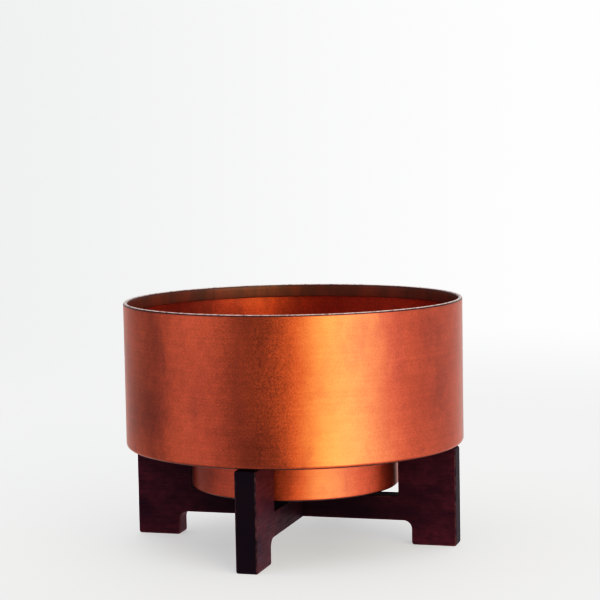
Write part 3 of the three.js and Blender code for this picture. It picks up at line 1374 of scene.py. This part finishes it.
@dataclass(frozen=True)
class Studio:
    """Camera, pale floor and the soft light all round.

    Args:
        camera_bearing: Bearing of the camera from the front, towards the right, in degrees.
        camera_distance: Distance of the camera from the pot's axis, on the floor.
        camera_aside: How far it stands to its own right of the line to the axis.
        camera_height: Its height over the floor.
        camera_dip: How far it looks down, in degrees.
        camera_roll: Its roll, in degrees.
        lens: Focal length, in millimetres on the sensor's width.
        sensor: Width of the sensor, in millimetres.
        floor_radius: Radius of the floor.
        floor_steps: Facets round the floor's rim.
        wall: Light of the wall, from behind the object by the left, the camera and the right.
        wall_peak: Radiance that the strongest possible stop has.
        wall_fade: Share of its light that the wall keeps at its top and foot.
        green_warmth: Share of a stop's warmth that its green lacks too.
        overhead: Radiance of the light overhead.
        underfoot: Radiance of the dome's lower end.
        wall_top: Heights between which the wall gives way to the light overhead, as sines.
        wall_bottom: Depths between which it gives way to the dome's lower end, as sines.
        sky: Colour of those two.
        left_paper: Colour of the backdrop that is seen to the left.
        right_paper: Colour of the backdrop that is seen to the right.
        paper_turn: Sines of the bearings between which the one turns into the other.
        film: How bright the picture shows each amount of light.
    """

    camera_bearing: float = 16.37
    camera_distance: float = 1.1628
    camera_aside: float = 0.00442
    camera_height: float = 0.2519
    camera_dip: float = 5.272
    camera_roll: float = -1.047
    lens: float = 116.66
    sensor: float = 36.0
    floor_radius: float = 1.3
    floor_steps: int = 128
    wall: tuple[DomeStop, ...] = (
        DomeStop(-180, 0.52),
        DomeStop(-168, 0.62),
        DomeStop(-152, 0.56),
        DomeStop(-130, 0.34),
        DomeStop(-104, 0.22),
        DomeStop(-84, 0.50),
        DomeStop(-56, 0.54),
        DomeStop(-40, 0.17),
        DomeStop(-10, 0.12),
        DomeStop(4, 0.18, 0.50),
        DomeStop(15, 2.20, 0.58),
        DomeStop(33, 2.60, 0.42),
        DomeStop(50, 1.75, 0.22),
        DomeStop(66, 0.84, 0.08),
        DomeStop(84, 0.50),
        DomeStop(130, 0.50),
        DomeStop(152, 0.68),
        DomeStop(168, 0.72),
        DomeStop(180, 0.52),
    )
    wall_peak: float = 4.0
    wall_fade: float = 0.25
    green_warmth: float = 0.12
    overhead: float = 1.1
    underfoot: float = 0.20
    wall_top: tuple[float, float] = (0.35, 0.80)
    wall_bottom: tuple[float, float] = (-0.25, -0.75)
    sky: Colour = (0.97, 0.98, 1.0)
    left_paper: Colour = (0.78, 0.785, 0.79)
    right_paper: Colour = (0.985, 0.985, 0.99)
    paper_turn: tuple[float, float] = (-0.2, 0.16)
    film: tuple[tuple[float, float], ...] = (
        (0.03, 0.011),
        (0.10, 0.068),
        (0.20, 0.185),
        (0.40, 0.50),
        (0.60, 0.75),
        (0.80, 0.88),
    )

    def build(self) -> None:
        """Builds the camera, the floor and the light."""
        self._place_camera()
        self._lay_floor()
        self._light()
        self._load_film()

    def _place_camera(self) -> None:
        """Puts up the camera."""
        bearing, dip = math.radians(self.camera_bearing), math.radians(self.camera_dip)
        outward = Vector((math.sin(bearing), -math.cos(bearing), 0.0))
        aside = Vector((math.cos(bearing), math.sin(bearing), 0.0))
        camera = bpy.data.cameras.new("camera")
        camera.lens = self.lens
        camera.sensor_width = self.sensor
        camera.clip_start = 0.01
        made = put_in_scene("camera", camera)
        made.location = outward * self.camera_distance + aside * self.camera_aside
        made.location.z = self.camera_height
        looking = -outward * math.cos(dip) - Vector((0.0, 0.0, math.sin(dip)))
        made.rotation_mode = "QUATERNION"
        roll = Quaternion((0.0, 0.0, 1.0), math.radians(self.camera_roll))
        made.rotation_quaternion = looking.to_track_quat("-Z", "Y") @ roll
        bpy.context.scene.camera = made

    def _load_film(self) -> None:
        """Sets how the camera's film answers to light: deep shadows and a bright, soft middle."""
        answer = bpy.context.scene.view_settings
        answer.view_transform = "Standard"
        answer.use_curve_mapping = True
        curve = answer.curve_mapping.curves[WHOLE_CURVE]
        for light, shown in self.film:
            curve.points.new(light, shown)
        answer.curve_mapping.update()

    def _lay_floor(self) -> None:
        """Lays the pale floor, a disc that fades away; the metal reflects the dome's lower half instead."""
        mesh = bmesh.new()
        bmesh.ops.create_circle(mesh, cap_ends=True, radius=self.floor_radius, segments=self.floor_steps)
        bmesh.ops.recalc_face_normals(mesh, faces=mesh.faces[:])
        data = bpy.data.meshes.new("floor")
        mesh.to_mesh(data)
        mesh.free()
        data.materials.append(PaleSweep("pale sweep").material())
        floor = put_in_scene("floor", data)
        floor.visible_glossy = False
        floor.visible_shadow = False

    def _light(self) -> None:
        """Lights the scene from a dome: soft boxes round the wall, and a wide soft light overhead."""
        world = bpy.data.worlds.new("studio")
        bpy.context.scene.world = world
        world.use_nodes = True
        world.node_tree.nodes.clear()
        bench = NodeBench(world.node_tree)
        towards = bench.node("ShaderNodeTexCoord").outputs["Generated"]
        turned = bench.stretched(towards, (1, 1, 1), (0, 0, -math.radians(self.camera_bearing)))
        x, y, z = bench.parts_of(turned)
        strength = bench.between(
            bench.maths("ABSOLUTE", z), *self.wall_top, self.wall_peak, self.wall_peak * self.wall_fade
        )
        above = bench.between(z, *self.wall_top, 0.0, self.overhead)
        below = bench.between(z, *self.wall_bottom, 0.0, self.underfoot)
        paper = bench.mix(bench.between(x, *self.paper_turn), self.left_paper, self.right_paper)
        wall = self._background(bench, self._wall_colour(bench, x, y), strength)
        rest = self._background(bench, self.sky, bench.plus(above, below))
        lit = bench.node("ShaderNodeAddShader", {0: wall, 1: rest}).outputs[0]
        seen = self._background(bench, paper, 1.0)
        by_camera = bench.node("ShaderNodeLightPath").outputs["Is Camera Ray"]
        choice = bench.node("ShaderNodeMixShader", {0: by_camera, 1: lit, 2: seen}).outputs[0]
        bench.node("ShaderNodeOutputWorld", {"Surface": choice})

    @staticmethod
    def _background(bench: NodeBench, colour: Value, strength: Value) -> NodeSocket:
        """Adds a background light."""
        return bench.node("ShaderNodeBackground", {"Color": colour, "Strength": strength}).outputs[0]

    def _wall_colour(self, bench: NodeBench, x: NodeSocket, y: NodeSocket) -> NodeSocket:
        """Colours the wall by its bearing.

        Args:
            bench: The bench of the world's tree.
            x: How far a direction goes to the camera's right.
            y: How far it goes away from the camera.

        Returns:
            The wall's colour, of which 1 is its peak.
        """
        bearing = bench.maths("ARCTAN2", x, bench.times(y, -1.0))
        share = bench.plus(bench.maths("DIVIDE", bearing, 2 * math.pi), 0.5)
        ramp = bench.node("ShaderNodeValToRGB", {0: share})
        ramp.color_ramp.interpolation = "LINEAR"
        marks = ramp.color_ramp.elements
        for stop in self.wall[1:-1]:
            marks.new((stop.bearing + 180) / 360)
        for mark, stop in zip(marks, self.wall):
            level = stop.radiance / self.wall_peak
            green, blue = 1 - self.green_warmth * stop.warmth, 1 - stop.warmth
            mark.color = (level, level * green, level * blue, 1.0)
        return ramp.outputs[0]


# --- Putting it together ----------------------------------------------------------------------------


def main() -> None:
    """Builds every sub-assembly in order."""
    logging.basicConfig(level=logging.INFO, format="%(message)s")
    pieces = [*Pot.in_frame().build(), DrainPlug.in_frame().build(), *CrossStand().build()]
    Studio().build()
    LOG.info("%d pieces", len(pieces))


if __name__ == "__main__":
    main()
